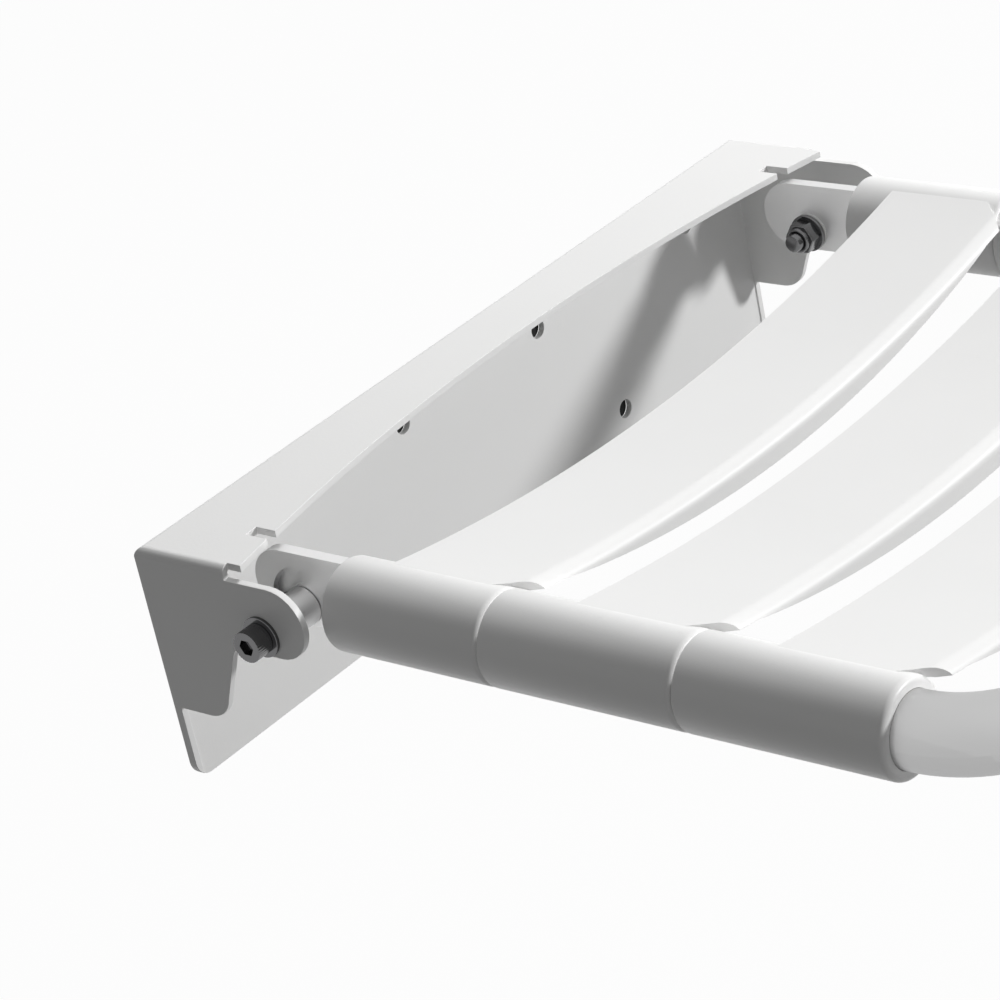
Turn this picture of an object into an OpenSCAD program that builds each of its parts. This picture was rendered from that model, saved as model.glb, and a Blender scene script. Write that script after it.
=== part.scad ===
// Fold down wall seat: a folded sheet bracket carries a U shaped tube with three moulded slats.
// Millimetres. The origin is the middle of the back plate on its wall face.
// The wall is at +Y, the seat points along -Y and X runs along the wall. Left is the -X side.

/* [Bracket] */
// Width of the bracket along the wall
bracket_w = 400; // [370:1:440]
// Height of the back plate
plate_h = 105; // [98:1:125]
// Thickness of the folded sheet
sheet_t = 3; // [2.5:0.25:3.5]
// Outer radius of the long bend along the wall
bend_r = 4; // [3.75:0.25:5]
// Radius of the two lower corners of the back plate
plate_corner_r = 8; // [2:1:15]
// Depth of the top flange at its middle
flange_mid = 32; // [28:0.5:36]
// Depth of the top flange beside the ears
flange_end = 54.5; // [52:0.5:57]
// Depth at which the ear leaves the flange
ear_notch = 47; // [44:0.5:50]
// Drop of the ear's top edge below the flange
ear_drop = 5.5; // [4.5:0.5:7]

/* [Ears] */
// Half height of the ear's nose
nose_r = 15; // [13:0.5:16]
// Distance of the nose centre from the wall
nose_out = 68.5; // [66:0.5:72]
// Depth of the lower lobe of the ear
lobe_out = 33; // [28:0.5:36]
// Distance from the flange top to the foot of the lobe
lobe_drop = 71; // [66:0.5:78]
// Radius of the hollow between nose and lobe
hollow_r = 7; // [4:0.5:9]
// Radius of the lobe's lower corner
lobe_r = 13; // [8:0.5:15]

/* [Wall holes] */
// Diameter of the wall screw holes
wall_hole_d = 8.5; // [6:0.5:10]
// Spacing of the inner pair of upper holes
inner_pair = 92; // [80:1:110]
// Spacing of the outer pair of upper holes
outer_pair = 312; // [290:1:320]
// Spacing of the pair of lower holes
lower_pair = 184; // [170:1:200]
// Height of the upper holes above the plate's middle
upper_row = 29; // [24:0.5:32]
// Depth of the lower holes below the plate's middle
lower_row = 32.5; // [26:0.5:36]

/* [Pivots] */
// Distance of the pivot axis from the wall
pivot_out = 61; // [59:0.5:62]
// Drop of the pivot axis below the flange top
pivot_drop = 26.8; // [26:0.2:28]
// Thread diameter of the pivot bolts
bolt_d = 8; // [7:0.5:9]
// Outer diameter of the spacer tubes
spacer_d = 16; // [14:0.5:16.5]
// Outer diameter of the pivot bushes
bush_d = 12; // [11:0.5:13]
// Diameter of the stop pins
stop_d = 7; // [6:0.5:7]
// Distance of the stop pins from the pivot axis
stop_r = 12; // [12:0.25:12.75]

/* [Seat frame] */
// Outer diameter of the bent tube
tube_d = 28; // [26:0.5:30]
// Wall of the bent tube
tube_wall = 2; // [1.5:0.25:3]
// Drop of the tube axis below the flange top
rail_drop = 20.1; // [19.5:0.1:21]
// Distance of the front tube's axis from the wall
front_out = 381; // [380:1:410]
// Bend radius of the front corners, on the tube axis
corner_r = 42; // [34:1:43]
// Thickness of the lug plates
lug_t = 5; // [4:0.5:6]
// Height of the lug plates
lug_h = 31; // [29:0.5:32]
// Reach of a lug behind the pivot axis
lug_back = 23.5; // [22:0.5:25]
// Offset of the lug plate towards the middle of the seat
lug_in = 3.9; // [3:0.1:5]

/* [Slats] */
// Outer diameter of the slat sleeves
sleeve_d = 36.8; // [35:0.2:38]
// Distance of the first sleeve's rear end from the wall
sleeve_start = 88.8; // [88.5:0.1:92]
// Distance from the wall to the first seam between sleeves
first_seam = 163.6; // [155:0.2:166]
// Pitch of the slats
slat_pitch = 86.9; // [84:0.1:89]
// Width of a slat's flat top, without its rounded front
slat_w = 55.4; // [50:0.2:57]
// Thickness of the moulded slats
slat_t = 3.5; // [3:0.25:4.5]
// Height of a slat's middle above the tube axis
slat_low = 1.1; // [0:0.1:8]
// Radius of a slat's rounded front edge
front_r = 6; // [4.5:0.5:8]
// Depth of the front apron in the middle of a slat
apron_mid = 11.5; // [9.5:0.5:14]
// Length of the screws that hold the slats
slat_screw_l = 10; // [8:0.5:12]

/* [Hidden] */
$fn = 96;
// Facets of the long flat curves
long_fn = 720;
// One overrun for every cut
over = 5;

// Levels and planes that several pieces share
top_z = plate_h / 2;
side_x = bracket_w / 2;
ear_in_x = side_x - sheet_t;
under_z = top_z - sheet_t;
sleeve_r = sleeve_d / 2;
fold_share = 1.25;
fold_r = fold_share * sheet_t;
side_gap = 1.9;
rail_x = ear_in_x - side_gap - sleeve_r;
rail_z = top_z - rail_drop;
pivot_z = top_z - pivot_drop;

// Running and assembly clearances
running_gap = 0.3;
shaft_gap = 0.05;
hole_gap = 0.2;
sleeve_gap = 0.15;
seam_gap = 0.2;
groove_gap = 0.4;
slot_gap = 0.5;

// Ear values
nose_z = top_z - ear_drop - nose_r;
lobe_z = top_z - lobe_drop;
notch_in = 4;
arc_steps = 16;
// Where the hollow's arc ends and how far the lobe's front leans, as angles
hollow_end = 160;
lobe_lean = 15;

// Pivot hardware along X
washer_t = 1.6;
washer_d = 17;
head_d = 13;
head_h = 8;
socket_af = 6;
socket_depth = 4;
head_edge = 0.6;
nut_af = 13;
nut_hex_h = 6;
nut_collar_h = 2;
nut_collar_d = 11.6;
bolt_proud = 3.5;
bush_flange_d = 17;
bush_flange_t = 1.2;
lug_mid_x = rail_x - lug_in;
lug_out_x = lug_mid_x + lug_t / 2;
lug_in_x = lug_mid_x - lug_t / 2;
spacer_in_x = lug_out_x + running_gap;
inner_washer_x = lug_in_x - bush_flange_t - running_gap;
nut_x = inner_washer_x - washer_t;
bolt_tip_x = nut_x - nut_hex_h - nut_collar_h - bolt_proud;

// Stop groove in the lug's outer face, as angles from the front towards the top
stop_angle = 190;
fold_angle = 90;
groove_depth = 3;
stop_reach = groove_depth - running_gap;
groove_end = 1.4;

// Lug plug inside the tube, and its cross pin
plug_gap = 0.1;
plug_l = 36;
plug_r = tube_d / 2 - tube_wall - plug_gap;
tongue = 12;
cross_pin_d = 5;
cross_pin_out = 17;
cross_pin_short = 1;

// Slat values
sleeve_bore_r = tube_d / 2 + sleeve_gap;
lip_r = 2.2;
slat_offset = 0.6;
// The slat's top runs into the sleeve almost along its tangent
blend_in = 0.15;
blend_r = sleeve_r - blend_in;
slat_arc_r = (rail_x * rail_x + slat_low * slat_low - blend_r * blend_r) / (2 * (blend_r - slat_low));
slat_arc_z = rail_z + slat_low + slat_arc_r;
slat_half_angle = asin(rail_x / (slat_arc_r + blend_r));
apron_inset = 29.5;
apron_half = rail_x - apron_inset;
apron_low_z = rail_z + slat_low - apron_mid;
end_lip = 0.4;
apron_end_r = slat_arc_r + slat_t + end_lip;
apron_rise = slat_arc_z - sqrt(apron_end_r * apron_end_r - apron_half * apron_half) - apron_low_z;
apron_arc_r = (apron_half * apron_half + apron_rise * apron_rise) / (2 * apron_rise);
apron_arc_z = apron_low_z + apron_arc_r;
overhang_gap = 1;
overhang_half = rail_x - sleeve_r - overhang_gap;
rear_lip = 7;
screw_back = 30;
screw_d = 4;
screw_head_d = 7.6;
screw_head_h = 2.2;
screw_socket_af = 2.5;
screw_socket_depth = 1.3;
screw_seat = 2;
screw_sink = sleeve_r - tube_d / 2 - screw_seat;

SEAMS = [sleeve_start, first_seam, first_seam + slat_pitch, first_seam + 2 * slat_pitch];

function arc_points(cx, cy, r, from, to, steps = arc_steps) =
    [for (i = [0:steps]) let (a = from + (to - from) * i / steps) [cx + r * cos(a), cy + r * sin(a)]];

function hex_r(across) = across / (2 * cos(30));

// Draws children on both sides of the seat, or on one of them
module on_side(side) {
    if (side == "left") mirror([1, 0, 0]) children();
    else children();
}

// Lays a profile of distance from the wall and height in a plane across X
module across_x(from_x, to_x) {
    translate([to_x, 0, 0]) rotate([90, 0, -90]) linear_extrude(to_x - from_x) children();
}

// Cylinder along X between two planes, at a distance from the wall and a height
module bar_x(from_x, to_x, out, z, r, facets = $fn) {
    translate([from_x, -out, z]) rotate([0, 90, 0]) cylinder(r = r, h = to_x - from_x, $fn = facets);
}

// Cylinder along Y between two distances from the wall
module bar_y(x, z, from_out, to_out, r) {
    translate([x, -from_out, z]) rotate([90, 0, 0]) cylinder(r = r, h = to_out - from_out);
}

// Square with its two upper corners rounded, from a corner point to a corner point
module top_rounded(low, high, r) {
    difference() {
        translate(low) square(high - low);
        for (side = [0, 1]) translate([side == 0 ? low[0] : high[0], high[1]]) mirror([side, 0])
            difference() {
                translate([-over, -r]) square([r + over, r + over]);
                translate([r, -r]) circle(r = r);
            }
    }
}

// Block whose wall side top edge and whose two side top edges are rounded
module folded_block(inset, long_r, short_r) {
    reach = nose_out + nose_r + over;
    intersection() {
        translate([0, -inset, 0]) rotate([90, 0, 0]) linear_extrude(reach)
            top_rounded([inset - side_x, -top_z - inset], [side_x - inset, top_z - inset], short_r);
        translate([side_x, 0, 0]) rotate([90, 0, -90]) linear_extrude(bracket_w)
            top_rounded([inset, -top_z - inset], [2 * reach, top_z - inset], long_r);
    }
}

// Outline of the top flange seen from above, as x and distance from the wall
module flange_outline() {
    rise = flange_end - flange_mid;
    arc_r = (side_x * side_x + rise * rise) / (2 * rise);
    difference() {
        translate([-side_x, 0]) square([bracket_w, flange_end]);
        translate([0, flange_mid + arc_r]) circle(r = arc_r, $fn = long_fn);
        for (side = [-1, 1]) translate([side * side_x, ear_notch + over])
            square([2 * notch_in, 2 * over], center = true);
    }
}

// Outline of an ear, as distance from the wall and height
module ear_outline() {
    polygon(concat(
        [[0, top_z], [ear_notch, top_z], [ear_notch, top_z - ear_drop]],
        arc_points(nose_out, nose_z, nose_r, 90, -90),
        arc_points(lobe_out + nose_r, nose_z - nose_r - hollow_r, hollow_r, 90, hollow_end, arc_steps / 2),
        arc_points(lobe_out - lobe_r, lobe_z + lobe_r, lobe_r, -lobe_lean, -90, arc_steps / 2),
        [[0, lobe_z]]));
}

module wall_hole(x, z) {
    bar_y(x, z, -over, sheet_t + over, wall_hole_d / 2);
}

module corner_cut(side) {
    translate([side * side_x, 0, -top_z]) mirror([side > 0 ? 1 : 0, 0, 0]) rotate([90, 0, 0]) difference() {
        translate([-over, -over, -over])
            cube([over + plate_corner_r, over + plate_corner_r, sheet_t + 2 * over]);
        translate([plate_corner_r, plate_corner_r, -2 * over])
            cylinder(r = plate_corner_r, h = sheet_t + 4 * over);
    }
}

module wall_bracket() {
    fold_in_r = fold_r - sheet_t;
    color("whitesmoke") difference() {
        intersection() {
            difference() {
                folded_block(0, bend_r, fold_r);
                folded_block(sheet_t, bend_r - sheet_t, fold_in_r);
            }
            union() {
                translate([0, 0, under_z - fold_in_r]) mirror([0, 1, 0])
                    linear_extrude(sheet_t + fold_in_r + over) flange_outline();
                translate([-side_x, -sheet_t - fold_in_r, -top_z])
                    cube([bracket_w, sheet_t + fold_in_r, plate_h]);
                for (side = ["left", "right"])
                    on_side(side) across_x(ear_in_x - fold_in_r, side_x + over) ear_outline();
            }
        }
        for (side = [-1, 1]) {
            wall_hole(side * inner_pair / 2, upper_row);
            wall_hole(side * outer_pair / 2, upper_row);
            wall_hole(side * lower_pair / 2, -lower_row);
            corner_cut(side);
        }
        for (side = ["left", "right"]) on_side(side) {
            bar_x(ear_in_x - over, side_x + over, pivot_out, pivot_z, bolt_d / 2 + hole_gap);
            lug_slot();
        }
    }
}

// Slot in the flange that lets the lug swing up
module lug_slot() {
    slot_out = pivot_out - (lug_h / 2 + pivot_drop - rail_drop) - slot_gap;
    translate([lug_in_x - slot_gap, -flange_end - over, under_z - over])
        cube([lug_t + 2 * slot_gap, flange_end + over - slot_out, sheet_t + 2 * over]);
}

// Pin on the ear's inner face, which runs in the lug's groove
module stop_pin(side) {
    color("silver") on_side(side)
        bar_x(lug_out_x - stop_reach, ear_in_x, pivot_out + stop_r * cos(stop_angle),
            pivot_z + stop_r * sin(stop_angle), stop_d / 2);
}

module pivot_bolt(side) {
    head_x = side_x + washer_t;
    color("dimgray") on_side(side) difference() {
        union() {
            bar_x(bolt_tip_x, head_x + head_edge, pivot_out, pivot_z, bolt_d / 2);
            translate([head_x, -pivot_out, pivot_z]) rotate([0, 90, 0]) rotate_extrude() polygon([
                [0, 0], [head_d / 2, 0], [head_d / 2, head_h - head_edge],
                [head_d / 2 - head_edge, head_h], [0, head_h]]);
        }
        bar_x(head_x + head_h - socket_depth, head_x + head_h + over, pivot_out, pivot_z,
            hex_r(socket_af), 6);
    }
}

module washer(side, from_x) {
    color("silver") on_side(side) difference() {
        bar_x(from_x, from_x + washer_t, pivot_out, pivot_z, washer_d / 2);
        bar_x(from_x - over, from_x + washer_t + over, pivot_out, pivot_z, bolt_d / 2 + hole_gap);
    }
}

module spacer_tube(side) {
    color("lightgray") on_side(side) difference() {
        bar_x(spacer_in_x, ear_in_x, pivot_out, pivot_z, spacer_d / 2);
        bar_x(spacer_in_x - over, ear_in_x + over, pivot_out, pivot_z, bolt_d / 2 + hole_gap);
    }
}

module lock_nut(side) {
    color("dimgray") on_side(side) difference() {
        union() {
            bar_x(nut_x - nut_hex_h, nut_x, pivot_out, pivot_z, hex_r(nut_af), 6);
            bar_x(nut_x - nut_hex_h - nut_collar_h, nut_x - nut_hex_h, pivot_out, pivot_z, nut_collar_d / 2);
        }
        bar_x(bolt_tip_x, nut_x + over, pivot_out, pivot_z, bolt_d / 2);
    }
}

// One body of the bent tube, at a given radius, between its two rear ends
module tube_body(r, extra = 0) {
    straight = front_out - corner_r;
    inner_x = rail_x - corner_r;
    for (side = [-1, 1]) {
        bar_y(side * rail_x, rail_z, sleeve_start - extra, straight, r);
        translate([side * inner_x, -straight, rail_z]) rotate([0, 0, side > 0 ? -90 : 180])
            rotate_extrude(angle = 90) translate([corner_r, 0]) circle(r = r);
    }
    bar_x(-inner_x, inner_x, front_out, rail_z, r);
}

module seat_tube() {
    color("lightgray") difference() {
        tube_body(tube_d / 2);
        tube_body(tube_d / 2 - tube_wall, over);
        for (side = [-1, 1]) {
            cross_pin_hole(side * rail_x);
            for (i = [0:2]) screw_hole(side * rail_x, SEAMS[i + 1] - screw_back);
        }
    }
}

module cross_pin_hole(x) {
    translate([x, -sleeve_start - cross_pin_out, rail_z])
        cylinder(r = cross_pin_d / 2, h = tube_d + over, center = true);
}

// Hole through the underside of the tube, from below up to its axis
module screw_hole(x, out) {
    translate([x, -out, rail_z - sleeve_r - over]) cylinder(r = screw_d / 2, h = sleeve_r + over);
}

// Lug plate with its round rear end, the plug in the tube and the stop groove
module lug(side) {
    back_out = pivot_out - lug_back + lug_h / 2;
    color("silver") on_side(side) difference() {
        union() {
            bar_x(lug_in_x, lug_out_x, back_out, rail_z, lug_h / 2);
            translate([lug_in_x, -sleeve_start + running_gap, rail_z - lug_h / 2])
                cube([lug_t, sleeve_start - running_gap - back_out, lug_h]);
            translate([lug_in_x, -sleeve_start - tongue, rail_z - plug_r / 2])
                cube([lug_t, 2 * tongue, plug_r]);
            bar_y(rail_x, rail_z, sleeve_start, sleeve_start + plug_l, plug_r);
        }
        bar_x(lug_in_x - over, lug_out_x + over, pivot_out, pivot_z, bush_d / 2);
        across_x(lug_out_x - groove_depth, lug_out_x + over) translate([pivot_out, pivot_z]) stop_groove();
        cross_pin_hole(rail_x);
    }
}

// Groove on an arc round the pivot, seen from the side
module stop_groove() {
    half = stop_d / 2 + groove_gap;
    from = stop_angle - fold_angle - groove_end;
    to = stop_angle + groove_end;
    reach = 2 * (stop_r + half);
    intersection() {
        difference() {
            circle(r = stop_r + half);
            circle(r = stop_r - half);
        }
        polygon(concat([[0, 0]], arc_points(0, 0, reach, from, to, 2)));
    }
    for (a = [from, to]) translate([stop_r * cos(a), stop_r * sin(a)]) circle(r = stop_d / 2);
}

module pivot_bush(side) {
    color("white") on_side(side) difference() {
        union() {
            bar_x(lug_in_x, lug_out_x, pivot_out, pivot_z, bush_d / 2);
            bar_x(lug_in_x - bush_flange_t, lug_in_x, pivot_out, pivot_z, bush_flange_d / 2);
        }
        bar_x(lug_in_x - over, lug_out_x + over, pivot_out, pivot_z, bolt_d / 2 + shaft_gap);
    }
}

module lug_pin(side) {
    color("silver") on_side(side) translate([rail_x, -sleeve_start - cross_pin_out, rail_z])
        cylinder(r = cross_pin_d / 2, h = tube_d - 2 * cross_pin_short, center = true);
}

// Cross section of a slat: radius from the axis of its sag, and distance forward from its rear edge
module slat_section() {
    deep = slat_t + apron_mid;
    top = slat_arc_r;
    polygon(concat(
        [[top, 0], [top, slat_w]],
        arc_points(top + front_r, slat_w, front_r, 180, 90),
        [[top + deep, slat_w + front_r], [top + deep, slat_w + front_r - slat_t]],
        arc_points(top + front_r, slat_w, front_r - slat_t, 90, 180),
        [[top + slat_t, slat_t], [top + rear_lip, slat_t], [top + rear_lip, 0]]));
}

// Swept slat between the rails
module slat_body(rear_out) {
    translate([0, -rear_out, slat_arc_z]) rotate([90, 0, 0]) rotate([0, 0, -90 - slat_half_angle])
        rotate_extrude(angle = 2 * slat_half_angle, $fn = long_fn) slat_section();
}

// What is cut away below the arched lower edge of the apron and below the slat's ends
module apron_cut(rear_out) {
    half = rail_x + over;
    translate([0, over - rear_out, 0]) rotate([90, 0, 0])
        linear_extrude(slat_w + front_r + 2 * over) difference() {
            translate([-half, apron_low_z - sleeve_d]) square([2 * half, 2 * sleeve_d]);
            translate([0, slat_arc_z]) circle(r = apron_end_r, $fn = long_fn);
            translate([0, apron_arc_z]) circle(r = apron_arc_r, $fn = long_fn);
        }
}

// Keeps the front overhang of a slat clear of the next sleeve
module overhang_cut(front_seam) {
    depth = 2 * front_r;
    for (side = ["left", "right"]) on_side(side)
        translate([overhang_half, -front_seam - depth, rail_z - sleeve_d])
            cube([sleeve_d, depth + seam_gap, 2 * sleeve_d]);
}

// Round sleeve with soft ends, from a rear end to a front end
module sleeve(x, from_out, to_out) {
    l = to_out - from_out;
    shoulder = sleeve_r - lip_r;
    translate([x, -from_out, rail_z]) rotate([90, 0, 0]) rotate_extrude() polygon(concat(
        [[sleeve_bore_r / 2, 0]],
        arc_points(shoulder, lip_r, lip_r, -90, 0, arc_steps / 2),
        arc_points(shoulder, l - lip_r, lip_r, 0, 90, arc_steps / 2),
        [[sleeve_bore_r / 2, l]]));
}

module slat(index) {
    from_out = SEAMS[index] + (index == 0 ? 0 : seam_gap / 2);
    to_out = SEAMS[index + 1] - seam_gap / 2;
    rear_out = SEAMS[index + 1] - slat_offset - slat_w + seam_gap;
    screw_out = SEAMS[index + 1] - screw_back;
    color("white") difference() {
        union() {
            difference() {
                slat_body(rear_out);
                apron_cut(rear_out);
                overhang_cut(SEAMS[index + 1]);
            }
            for (side = [-1, 1]) sleeve(side * rail_x, from_out, to_out);
        }
        for (side = [-1, 1]) {
            bar_y(side * rail_x, rail_z, from_out - over, to_out + over, sleeve_bore_r);
            screw_hole(side * rail_x, screw_out);
            translate([side * rail_x, -screw_out, rail_z - sleeve_r - over])
                cylinder(r = screw_head_d / 2 + hole_gap, h = screw_sink + over);
        }
    }
}

// The two screws that hold one slat from below
module slat_screws(index) {
    color("silver") for (side = [-1, 1])
        translate([side * rail_x, screw_back - SEAMS[index + 1], rail_z - sleeve_r + screw_sink - screw_head_h])
            difference() {
                union() {
                    cylinder(r = screw_head_d / 2, h = screw_head_h);
                    cylinder(r = screw_d / 2, h = slat_screw_l);
                }
                translate([0, 0, -over])
                    cylinder(r = hex_r(screw_socket_af), h = screw_socket_depth + over, $fn = 6);
            }
}

wall_bracket();
stop_pin("left");  // stop_pin_left
stop_pin("right");  // stop_pin_right
pivot_bolt("left");  // pivot_bolt_left
pivot_bolt("right");  // pivot_bolt_right
washer("left", side_x);  // outer_washer_left
washer("right", side_x);  // outer_washer_right
spacer_tube("left");  // spacer_tube_left
spacer_tube("right");  // spacer_tube_right
washer("left", nut_x);  // inner_washer_left
washer("right", nut_x);  // inner_washer_right
lock_nut("left");  // lock_nut_left
lock_nut("right");  // lock_nut_right
seat_tube();
lug("left");  // lug_left
lug("right");  // lug_right
pivot_bush("left");  // pivot_bush_left
pivot_bush("right");  // pivot_bush_right
lug_pin("left");  // lug_pin_left
lug_pin("right");  // lug_pin_right
slat(0);  // slat_rear
slat(1);  // slat_middle
slat(2);  // slat_front
slat_screws(0);  // slat_screws_rear
slat_screws(1);  // slat_screws_middle
slat_screws(2);  // slat_screws_front
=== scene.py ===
"""Looks of a fold down wall seat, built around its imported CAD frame.

Sizes in the dataclasses are millimetres where nothing else is said, in the frame of the CAD: the wall is at +Y, the
seat points along -Y, X runs along the wall and the origin is the middle of the bracket's wall face. A start, seam,
rear, front or out is a distance from the wall. A name that ends in _crease is an angle in degrees: edges sharper than
it are rounded or stay sharp in the shading.
"""

import logging
import math
from collections.abc import Callable
from dataclasses import dataclass, field
from enum import Enum

import bmesh
import bpy
from mathutils import Matrix, Vector


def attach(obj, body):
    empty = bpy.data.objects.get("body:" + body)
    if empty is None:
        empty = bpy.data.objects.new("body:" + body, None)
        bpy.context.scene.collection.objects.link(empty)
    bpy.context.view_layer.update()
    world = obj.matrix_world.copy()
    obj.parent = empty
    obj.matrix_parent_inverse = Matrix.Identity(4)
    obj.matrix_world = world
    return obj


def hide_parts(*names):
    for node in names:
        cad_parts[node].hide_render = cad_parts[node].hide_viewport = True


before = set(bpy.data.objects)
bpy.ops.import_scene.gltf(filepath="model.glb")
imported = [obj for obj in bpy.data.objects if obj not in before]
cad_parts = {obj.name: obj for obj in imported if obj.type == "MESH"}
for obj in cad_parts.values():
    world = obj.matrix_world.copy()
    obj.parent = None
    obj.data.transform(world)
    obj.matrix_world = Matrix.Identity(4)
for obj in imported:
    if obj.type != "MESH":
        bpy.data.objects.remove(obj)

log = logging.getLogger("wall_seat")
MM = 0.001

# In millimetres: points nearer than this lie on one line
NEAR = 0.01
# In millimetres: how far a cutter stands out of the piece it cuts
CUT_MARGIN = 1.0
# A face looks along an axis if its normal's share of that axis is above this
FACING = 0.9


class Body(Enum):
    """The two rigid bodies of the seat."""

    BRACKET = "bracket"
    SEAT = "seat"


class Side(Enum):
    """The two ends of the bracket, as the sign of X."""

    LEFT = -1
    RIGHT = 1

    @property
    def word(self) -> str:
        """The side's name as the CAD nodes spell it."""
        return self.name.lower()


class Axis(Enum):
    """The axis along which a rod lies, as the turn that lays it there."""

    X = (0.0, math.pi / 2, 0.0)
    Y = (math.pi / 2, 0.0, 0.0)
    Z = (0.0, 0.0, 0.0)


class Pick(Enum):
    """What an edit mode selection holds."""

    POINTS = "VERT"
    EDGES = "EDGE"
    FACES = "FACE"


def m(value: float) -> float:
    """Turns millimetres into metres."""
    return value * MM


def place(x: float, y: float, z: float) -> tuple[float, float, float]:
    """Turns a point in millimetres into metres."""
    return (m(x), m(y), m(z))


def select_only(piece: bpy.types.Object) -> None:
    """Leaves one object selected and active.

    Args:
        piece: The object to work on.
    """
    bpy.ops.object.select_all(action="DESELECT")
    piece.select_set(True)
    bpy.context.view_layer.objects.active = piece


def named(piece_name: str) -> bpy.types.Object:
    """Names the primitive that was just added and settles its place into its mesh.

    Args:
        piece_name: The name it gets.

    Returns:
        The object.
    """
    piece = bpy.context.active_object
    piece.name = piece_name
    piece.data.name = piece_name
    select_only(piece)
    bpy.ops.object.transform_apply(location=True, rotation=True, scale=True)
    return piece


def pick(piece: bpy.types.Object, kind: Pick, test: Callable[..., bool]) -> None:
    """Opens a piece in edit mode with what passes a test selected.

    Args:
        piece: The object to open.
        kind: Whether points, edges or faces are tested.
        test: Says whether a bmesh element is taken.
    """
    select_only(piece)
    bpy.ops.object.mode_set(mode="EDIT")
    bpy.ops.mesh.select_mode(type=kind.value)
    bpy.ops.mesh.select_all(action="DESELECT")
    shape = bmesh.from_edit_mesh(piece.data)
    items = {Pick.POINTS: shape.verts, Pick.EDGES: shape.edges, Pick.FACES: shape.faces}[kind]
    for item in items:
        if test(item):
            item.select_set(True)
    shape.select_flush_mode()
    bmesh.update_edit_mesh(piece.data)


def open_whole(piece: bpy.types.Object) -> None:
    """Opens a piece in edit mode with everything selected.

    Args:
        piece: The object to open.
    """
    select_only(piece)
    bpy.ops.object.mode_set(mode="EDIT")
    bpy.ops.mesh.select_all(action="SELECT")


def leave_edit() -> None:
    """Goes back to object mode."""
    bpy.ops.object.mode_set(mode="OBJECT")


def clean(piece: bpy.types.Object, merge: float = 0.002) -> None:
    """Merges doubled points and turns all faces outwards.

    Args:
        piece: The object to clean.
        merge: The distance under which points are one, in millimetres.
    """
    open_whole(piece)
    bpy.ops.mesh.remove_doubles(threshold=m(merge))
    bpy.ops.mesh.normals_make_consistent(inside=False)
    leave_edit()


def soften(piece: bpy.types.Object, width: float, segments: int = 2, angle: float = 35.0) -> None:
    """Rounds a piece's sharp edges and shades it smooth.

    Args:
        piece: The object to round.
        width: The rounding's width in millimetres.
        segments: How many faces make the rounding.
        angle: Edges sharper than this many degrees are rounded.
    """
    select_only(piece)
    bevel = piece.modifiers.new("edge_rounding", "BEVEL")
    bevel.width = m(width)
    bevel.segments = segments
    bevel.limit_method = "ANGLE"
    bevel.angle_limit = math.radians(angle)
    bevel.use_clamp_overlap = True
    bpy.ops.object.modifier_apply(modifier=bevel.name)
    bpy.ops.object.shade_smooth_by_angle(angle=math.radians(angle))
    settle_normals(piece)


def settle_normals(piece: bpy.types.Object) -> None:
    """Lets large faces lead the shading, so that flat fields beside a rounding stay flat.

    Args:
        piece: The object to shade.
    """
    select_only(piece)
    lead = piece.modifiers.new("face_lead", "WEIGHTED_NORMAL")
    lead.keep_sharp = True
    bpy.ops.object.modifier_apply(modifier=lead.name)


def carve(piece: bpy.types.Object, tool: bpy.types.Object) -> None:
    """Cuts a tool's shape out of a piece and deletes the tool.

    Args:
        piece: The object that is cut.
        tool: The object whose volume goes.
    """
    select_only(piece)
    cut = piece.modifiers.new("carve", "BOOLEAN")
    cut.operation = "DIFFERENCE"
    cut.solver = "EXACT"
    cut.object = tool
    bpy.ops.object.modifier_apply(modifier=cut.name)
    bpy.data.objects.remove(tool, do_unlink=True)


def join(pieces: list[bpy.types.Object], piece_name: str) -> bpy.types.Object:
    """Joins several objects into one.

    Args:
        pieces: The objects, two or more, the first of which stays.
        piece_name: The name of the result.

    Returns:
        The joined object.
    """
    bpy.ops.object.select_all(action="DESELECT")
    for piece in pieces:
        piece.select_set(True)
    bpy.context.view_layer.objects.active = pieces[0]
    bpy.ops.object.join()
    pieces[0].name = piece_name
    pieces[0].data.name = piece_name
    return pieces[0]


def rod(
        piece_name: str, axis: Axis, radius: float, length: float, centre: tuple[float, float, float],
        corners: int) -> bpy.types.Object:
    """Adds a cylinder along one of the axes.

    Args:
        piece_name: Its name.
        axis: The axis it lies along.
        radius: Its radius.
        length: Its length.
        centre: Its middle.
        corners: How many corners it has.

    Returns:
        The cylinder.
    """
    bpy.ops.object.select_all(action="DESELECT")
    bpy.ops.mesh.primitive_cylinder_add(
        vertices=corners, radius=m(radius), depth=m(length), location=place(*centre), rotation=axis.value)
    return named(piece_name)


def copied(source: bpy.types.Object, piece_name: str) -> bpy.types.Object:
    """Copies an object with a mesh of its own.

    Args:
        source: The object to copy.
        piece_name: The name of the copy.

    Returns:
        The copy.
    """
    piece = bpy.data.objects.new(piece_name, source.data.copy())
    piece.data.name = piece_name
    bpy.context.scene.collection.objects.link(piece)
    return piece


def moved_copy(source: bpy.types.Object, piece_name: str, shift: tuple[float, float, float]) -> bpy.types.Object:
    """Copies an object and moves the copy's mesh.

    Args:
        source: The object to copy.
        piece_name: The name of the copy.
        shift: How far the mesh moves.

    Returns:
        The copy.
    """
    piece = copied(source, piece_name)
    open_whole(piece)
    bpy.ops.transform.translate(value=place(*shift))
    leave_edit()
    return piece


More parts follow.
